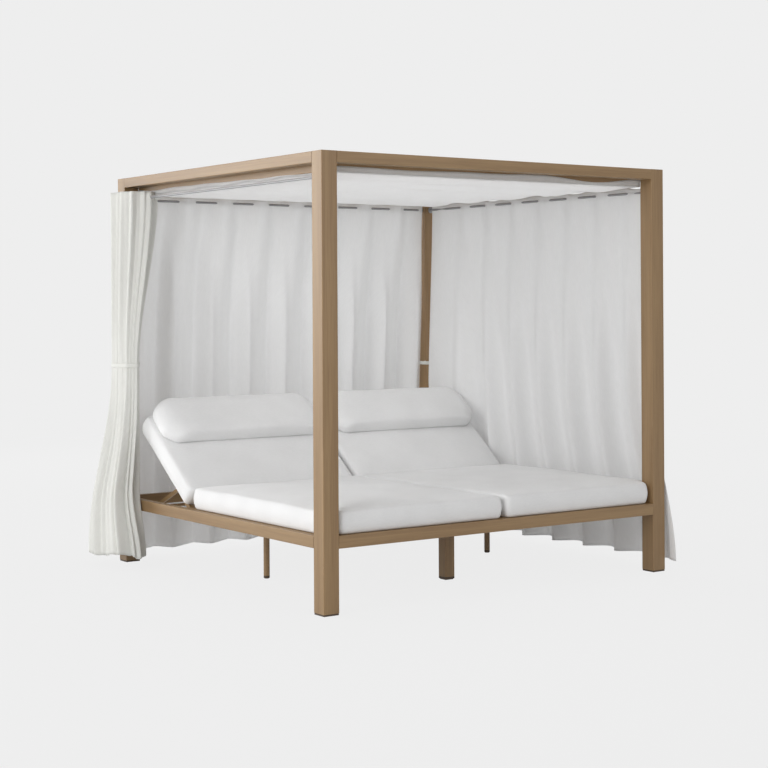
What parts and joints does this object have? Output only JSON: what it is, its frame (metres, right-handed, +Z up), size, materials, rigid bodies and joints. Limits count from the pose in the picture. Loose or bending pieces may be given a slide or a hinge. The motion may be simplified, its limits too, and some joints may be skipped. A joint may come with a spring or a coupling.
{
  "type": "outdoor daybed with canopy",
  "caption": "Square four-post outdoor daybed in wood-tone metal, with a fabric canopy, curtains, and two side by side loungers with reclining backrests.",
  "frame": {"origin": "on the floor at the middle of the four-post frame", "axes": "+X across the bed to the right, +Y along the bed towards the head, +Z up"},
  "size_m": [2.3058, 2.0916, 2],
  "materials": {
    "wood_tone_coat": "satin powder coat in a light teak tone with a fine wood grain",
    "steel": "satin metal",
    "dark_plastic": "matte dark moulded plastic",
    "canopy_fabric": "taut off-white outdoor cloth",
    "curtain_fabric": "light white woven curtain cloth, slightly see-through",
    "cushion_fabric": "off-white woven outdoor upholstery with sewn seams"
  },
  "bodies": {
    "base": {"post_front_left": "wood_tone_coat", "post_front_right": "wood_tone_coat", "post_back_left": "wood_tone_coat", "post_back_right": "wood_tone_coat", "beam_foot": "wood_tone_coat", "beam_head": "wood_tone_coat", "beam_left": "wood_tone_coat", "beam_right": "wood_tone_coat", "rail_foot": "wood_tone_coat", "rail_head": "wood_tone_coat", "rail_left": "wood_tone_coat", "rail_right": "wood_tone_coat", "canopy_rail_foot": "wood_tone_coat", "canopy_rail_head": "wood_tone_coat", "canopy_rail_left": "wood_tone_coat", "canopy_rail_right": "wood_tone_coat", "centre_beam": "wood_tone_coat", "mid_rail_left": "wood_tone_coat", "mid_rail_right": "wood_tone_coat", "hinge_rail_left": "wood_tone_coat", "hinge_rail_right": "wood_tone_coat", "leg_left": "wood_tone_coat", "leg_right": "wood_tone_coat", "leg_centre": "wood_tone_coat", "seat_deck_left": "wood_tone_coat", "seat_deck_right": "wood_tone_coat", "prop_rack_left": "wood_tone_coat", "prop_rack_right": "wood_tone_coat", "canopy_batten_1": "steel", "canopy_batten_2": "steel", "canopy_batten_3": "steel", "canopy_batten_4": "steel", "curtain_rod_head": "steel", "curtain_rod_left": "steel", "curtain_rod_right": "steel", "glide_front_left": "dark_plastic", "glide_front_right": "dark_plastic", "glide_back_left": "dark_plastic", "glide_back_right": "dark_plastic", "leg_foot_left": "dark_plastic", "leg_foot_right": "dark_plastic", "leg_foot_centre": "dark_plastic", "canopy_cloth": "canopy_fabric", "curtain_head": "curtain_fabric", "curtain_right": "curtain_fabric", "curtain_left": "curtain_fabric", "tie_left": "curtain_fabric", "tie_right": "curtain_fabric", "seat_cushion_left": "cushion_fabric", "seat_cushion_right": "cushion_fabric"},
    "lead_eyelet_head": {"lead_eyelet_head": "steel"},
    "lead_eyelet_right": {"lead_eyelet_right": "steel"},
    "backrest_left": {"back_frame_left": "wood_tone_coat", "back_cushion_left": "cushion_fabric", "pillow_left": "cushion_fabric"},
    "prop_left": {"prop_left": "wood_tone_coat"},
    "backrest_right": {"back_frame_right": "wood_tone_coat", "back_cushion_right": "cushion_fabric", "pillow_right": "cushion_fabric"},
    "prop_right": {"prop_right": "wood_tone_coat"}
  },
  "joints": [
    {"name": "backrest_left_tilt", "type": "hinge", "parent": "base", "child": "backrest_left", "pos_m": [0, 0.323, 0.328], "axis": [1, 0, 0], "range_deg": [-38, 7]},
    {"name": "prop_left_swing", "type": "hinge", "parent": "backrest_left", "child": "prop_left", "pos_m": [0, 0.44908, 0.42651], "axis": [1, 0, 0], "range_deg": [-10.3, 54.9]},
    {"name": "backrest_right_tilt", "type": "hinge", "parent": "base", "child": "backrest_right", "pos_m": [0, 0.323, 0.328], "axis": [1, 0, 0], "range_deg": [-38, 7]},
    {"name": "prop_right_swing", "type": "hinge", "parent": "backrest_right", "child": "prop_right", "pos_m": [0, 0.44908, 0.42651], "axis": [1, 0, 0], "range_deg": [-10.3, 54.9]},
    {"name": "head_curtain_draw", "type": "slide", "parent": "base", "child": "lead_eyelet_head", "axis": [1, 0, 0], "range_m": [0, 1.4], "deforming": ["curtain_head"]},
    {"name": "right_curtain_draw", "type": "slide", "parent": "base", "child": "lead_eyelet_right", "axis": [0, 1, 0], "range_m": [0, 1.4], "deforming": ["curtain_right"]}
  ],
  "couplings": [
    {"joint": "prop_left_swing", "follows": "backrest_left_tilt", "ratio": -1.4381},
    {"joint": "prop_right_swing", "follows": "backrest_right_tilt", "ratio": -1.4381}
  ]
}
